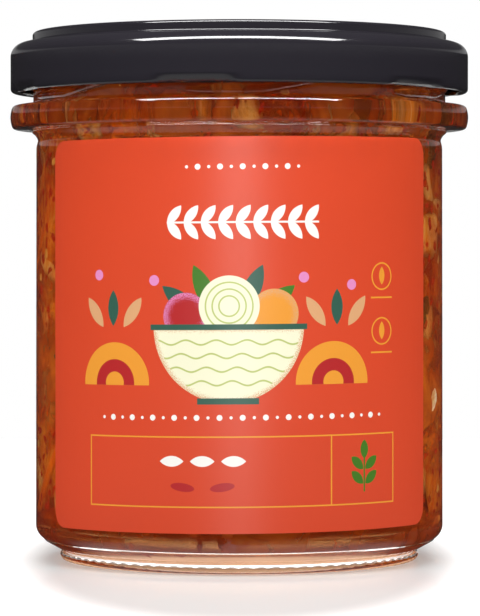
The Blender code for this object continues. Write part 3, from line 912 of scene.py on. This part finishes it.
def filmPaint():
    # clear tinted brine, clouded in patches, in a band below the middle, in the neck, round the heel, and
    # pale over the floor, where the paleness is painted light from the table shining up through the clear
    # base
    paint = Paint("brine")
    here = paint.here()
    cloud = paint.noise(here, 110.0, 4.0, 0.6, 0.7)
    fine = paint.noise(here, 520.0, 3.0)
    level = paint.axes(here)[2] * 1000.0
    uneven = level + (cloud - 0.5) * brine["uneven"]
    band = uneven.ramp(*brine["bandRise"]) * (1.0 - uneven.ramp(*brine["bandFall"]))
    neck = uneven.ramp(*brine["neck"])
    inward = depthBehindGlass(paint, here).ramp(*brine["inward"])
    # painted light: over the floor the brine is made pale and nearly opaque, as if lit by the table through
    # the clear base
    floor = (1.0 - level.ramp(*brine["floor"])) * inward
    heel = (1.0 - level.ramp(*brine["heel"])) * (1.0 - inward)
    colour = paint.colours(cloud, brine["stops"])
    colour = paint.blend(neck * 0.60, colour, brine["neckColour"])
    colour = paint.blend(heel * 0.60, colour, brine["heelColour"])
    # painted light: the pale floor colour, varied by the cloud
    colour = paint.blend(floor * (0.55 + cloud * 0.6), colour, brine["paintedFloorLight"])
    veil = 0.10 + cloud.ramp(0.44, 0.66) * 0.24 + fine.ramp(0.50, 0.75) * 0.10
    veil = (veil + band * 0.50 + neck * 0.50 + floor * 0.85 + heel * 0.40).atMost(0.97)
    clear = paint.node("BsdfTransparent", inputs={"Color": brine["tint"]})
    murk = paint.node("BsdfPrincipled", inputs={"Base Color": colour, "Roughness": 0.5,
                                                "Specular IOR Level": 0.03})
    mixed = paint.node("MixShader", inputs={0: veil, 1: clear.outputs[0], 2: murk.outputs[0]})
    paint.tree.links.new(mixed.outputs[0], paint.end.inputs["Surface"])
    return paint.material


def makePieces(name, form, kind, draw, material):
    pieces = scatter(name, form, kind, draw)
    finishFilling(pieces, [material])
    if kind["smooth"]:
        smoothShade(pieces, kind["smooth"])


def makeFilling():
    draw = random.Random(filling["seed"])
    core = brineCore()
    packed = kimchiPaint("packedBrine", [(0.30, (0.17, 0.014, 0.001)), (0.46, (0.38, 0.045, 0.003)),
                                         (0.58, (0.56, 0.11, 0.008)), (0.72, (0.72, 0.27, 0.04))],
                         95.0, 0.5, relief=0.6)
    finishFilling(core, [packed])
    smoothShade(core, 60)
    film = brineFilm()
    finishFilling(film, [filmPaint()])
    smoothShade(film, 40)

    slabPoints, slabFaces = blobForm(7, 0.0)
    broad = (roundedSlab(slabPoints, 0.55, 0.9), slabFaces)
    leafForm = (roundedSlab(slabPoints, 0.35, 0.6), slabFaces)
    stickPoints, stickFaces = blobForm(4, 0.0)
    stick = (roundedSlab(stickPoints, 0.12, 0.7), stickFaces)
    chipPoints, chipFaces = blobForm(1, 0.0)
    chip = (roundedSlab(chipPoints, 0.7, 0.8), chipFaces)

    stained = kimchiPaint("stainedLeaf", [(0.32, (0.34, 0.040, 0.002)), (0.50, (0.64, 0.15, 0.010)),
                                          (0.66, (0.80, 0.36, 0.05))], 130.0, 0.7, relief=0.8, veins=0.5)
    makePieces("kimchiLeaves", leafForm, leaves, draw, stained)
    pale = kimchiPaint("cabbageRib", [(0.30, (0.62, 0.18, 0.015)), (0.48, (0.76, 0.40, 0.085)),
                                      (0.66, (0.95, 0.82, 0.55))], 110.0, 0.55, veins=0.4)
    makePieces("kimchiRibs", broad, ribs, draw, pale)
    orange = kimchiPaint("carrotStick", [(0.35, (0.66, 0.13, 0.006)), (0.65, (0.80, 0.24, 0.016))],
                         160.0, 0.25)
    makePieces("kimchiCarrots", stick, carrots, draw, orange)
    dark = kimchiPaint("darkLeaf", [(0.35, (0.016, 0.014, 0.006)), (0.65, (0.060, 0.055, 0.014))],
                       210.0, 0.15, veins=0.3)
    makePieces("kimchiGreens", leafForm, greens, draw, dark)
    red = kimchiPaint("chiliFlake", [(0.35, (0.30, 0.012, 0.003)), (0.65, (0.56, 0.040, 0.004))], 300.0, 0.0)
    makePieces("kimchiFlakes", chip, flakes, draw, red)
    yellow = kimchiPaint("chiliSeed", [(0.35, (0.72, 0.42, 0.10)), (0.65, (0.84, 0.62, 0.24))], 300.0, 0.1)
    makePieces("kimchiSeeds", chip, seeds, draw, yellow)


makeFilling()
print("filling made")


# studio

studio = {
    "cameraAway": 0.618, "cameraHeight": 0.0572, "focal": 3291.0, "longSide": 616.0, "sensor": 36.0,
    "horizon": 253.8, "middleRow": 308.0, "jarColumn": 239.3, "middleColumn": 240.0,
    "floorGlow": 1.60, "floorReach": 0.40,
    # reaches of the painted shade round the jar and of the painted light under its foot, in metres
    "shade": (0.047, 0.062), "paintedLightUnderFoot": (0.0300, 0.0335),
    # the tent's brightness: lighting what is outside, mirrored, and through glass
    "frontLight": 0.70, "backLight": 0.34,
    "dimMirror": 0.022, "bandMirror": 0.32, "topMirror": 0.18, "tableMirror": 0.75,
    "frontThrough": 0.12, "throughGlass": 1.10,
}

lights = {
    "overhead": {"place": (0.0, -0.42, 0.70), "aim": (0.0, 0.0, 0.08), "size": (1.3, 0.16), "power": 4.5,
                 "onto": ()},
    "sheen": {"place": (0.0, -1.25, 0.10), "aim": (0.0, 0.0, 0.05), "size": (0.34, 0.7), "power": 5.0,
              "onto": ("paperLabel",)},
    "glint": {"place": (0.0, -0.40, 0.70), "aim": (0.0, 0.0, 0.08), "size": (1.3, 0.22), "power": 24.0,
              "onto": ("glassJar", "twistOffLid")},
}


def areaLight(name, look):
    # a light with a list of pieces shines on those alone
    light = bpy.data.lights.new(name, "AREA")
    light.shape = "RECTANGLE"
    light.size, light.size_y = look["size"]
    light.energy = look["power"]
    holder = bpy.data.objects.new(name, light)
    bpy.context.scene.collection.objects.link(holder)
    holder.location = look["place"]
    aside = Vector(look["aim"]) - Vector(look["place"])
    holder.rotation_euler = aside.to_track_quat("-Z", "Y").to_euler()
    if look["onto"]:
        receivers = bpy.data.collections.new(name)
        for piece in look["onto"]:
            receivers.objects.link(bpy.data.objects[piece])
        holder.light_linking.receiver_collection = receivers


def makeFloor():
    # a white sheet that glows: the glow is painted shade, dimmer beside the jar and before it for the jar's
    # shadow and reflection, and painted light, bright under its clear foot to light the base from below
    startClean()
    bpy.ops.mesh.primitive_circle_add(vertices=96, radius=studio["floorReach"], fill_type="NGON")
    floor = bpy.context.object
    floor.name = "studioFloor"
    paint = Paint("whiteAcrylic")
    haze = paint.noise(paint.here(), 30.0, 2.0)
    x, y = paint.axes(paint.here())[:2]
    # painted shade: the glow is dimmed beside the jar and before it, for the jar's shadow and reflection
    pastPaintedShade = (x * x * 1.9 + y * y * 0.25).root().ramp(*studio["shade"])
    # painted light: the glow is bright under the clear foot, to light the base from below
    below = 1.0 - (x * x + y * y).root().ramp(*studio["paintedLightUnderFoot"])
    glow = paint.blend(pastPaintedShade, (0.10, 0.102, 0.100), (0.50, 0.50, 0.50))
    glow = paint.blend(below, glow, (1.0, 1.0, 1.0))
    paint.surface(Base_Color=(0.82, 0.82, 0.81), Roughness=0.09 + haze * 0.04, IOR=1.04,
                  Emission_Color=glow, Emission_Strength=studio["floorGlow"])
    floor.data.materials.append(paint.material)
    floor.visible_glossy = False            # the tent alone shows in the glass and the lacquer


def makeWorld():
    # a white tent, whose brightness depends on what looks at it
    world = bpy.data.worlds.new("studio")
    bpy.context.scene.world = world
    world.use_nodes = True
    tree = world.node_tree
    tree.nodes.clear()

    def brightness(axis, low, high, dim, bright):
        made = tree.nodes.new("ShaderNodeMapRange")
        made.interpolation_type = "SMOOTHSTEP"
        for key, value in zip(("From Min", "From Max", "To Min", "To Max"), (low, high, dim, bright)):
            made.inputs[key].default_value = value
        tree.links.new(parts.outputs[axis], made.inputs["Value"])
        return made.outputs[0]

    def joined(operation, first, second):
        made = tree.nodes.new("ShaderNodeMath")
        made.operation = operation
        tree.links.new(first, made.inputs[0])
        tree.links.new(second, made.inputs[1])
        return made.outputs[0]

    def choose(ray, first, second):
        made = tree.nodes.new("ShaderNodeMix")
        tree.links.new(path.outputs[ray], made.inputs[0])
        for place, value in ((2, first), (3, second)):
            if isinstance(value, float):
                made.inputs[place].default_value = value
            else:
                tree.links.new(value, made.inputs[place])
        return made.outputs[0]

    toward = tree.nodes.new("ShaderNodeTexCoord")
    parts = tree.nodes.new("ShaderNodeSeparateXYZ")
    tree.links.new(toward.outputs["Generated"], parts.inputs[0])
    path = tree.nodes.new("ShaderNodeLightPath")
    soft = brightness("Y", -1.0, 1.0, studio["frontLight"], studio["backLight"])
    # mirrored in glass and lacquer: dim, but for a band low all round and the table straight below
    risen = brightness("Z", 0.080, 0.096, studio["dimMirror"], studio["bandMirror"])
    faded = brightness("Z", 0.150, 0.220, 1.0, studio["topMirror"])
    below = brightness("Z", -0.80, -0.45, studio["tableMirror"], 0.0)
    mirrored = joined("ADD", joined("MULTIPLY", risen, faded), below)
    strength = choose("Is Glossy Ray", soft, mirrored)
    # seen through glass: bright behind the jar and dim in front, while the contents are lit evenly
    seen = brightness("Y", -0.10, 0.40, studio["frontThrough"], studio["throughGlass"])
    seen = choose("Diffuse Depth", seen, studio["throughGlass"])
    strength = choose("Is Transmission Ray", strength, seen)
    strength = choose("Is Camera Ray", strength, 1.0)
    tent = tree.nodes.new("ShaderNodeBackground")
    tent.inputs["Color"].default_value = (1.0, 1.0, 1.0, 1.0)
    tree.links.new(strength, tent.inputs["Strength"])
    end = tree.nodes.new("ShaderNodeOutputWorld")
    tree.links.new(tent.outputs[0], end.inputs[0])


def makeCamera():
    s = studio
    camera = bpy.data.cameras.new("camera")
    camera.sensor_width = s["sensor"]
    camera.lens = s["focal"] / s["longSide"] * s["sensor"]
    camera.clip_start = 0.01
    holder = bpy.data.objects.new("camera", camera)
    bpy.context.scene.collection.objects.link(holder)
    holder.location = (0.0, -s["cameraAway"], s["cameraHeight"])
    down = math.atan((s["middleRow"] - s["horizon"]) / s["focal"])
    aside = math.atan((s["middleColumn"] - s["jarColumn"]) / s["focal"])
    holder.rotation_euler = (math.pi / 2.0 - down, 0.0, -aside)
    bpy.context.scene.camera = holder


makeFloor()
makeWorld()
makeCamera()
for lightName, lightLook in lights.items():
    areaLight(lightName, lightLook)
bpy.context.scene.view_settings.view_transform = "Standard"
print("studio made")
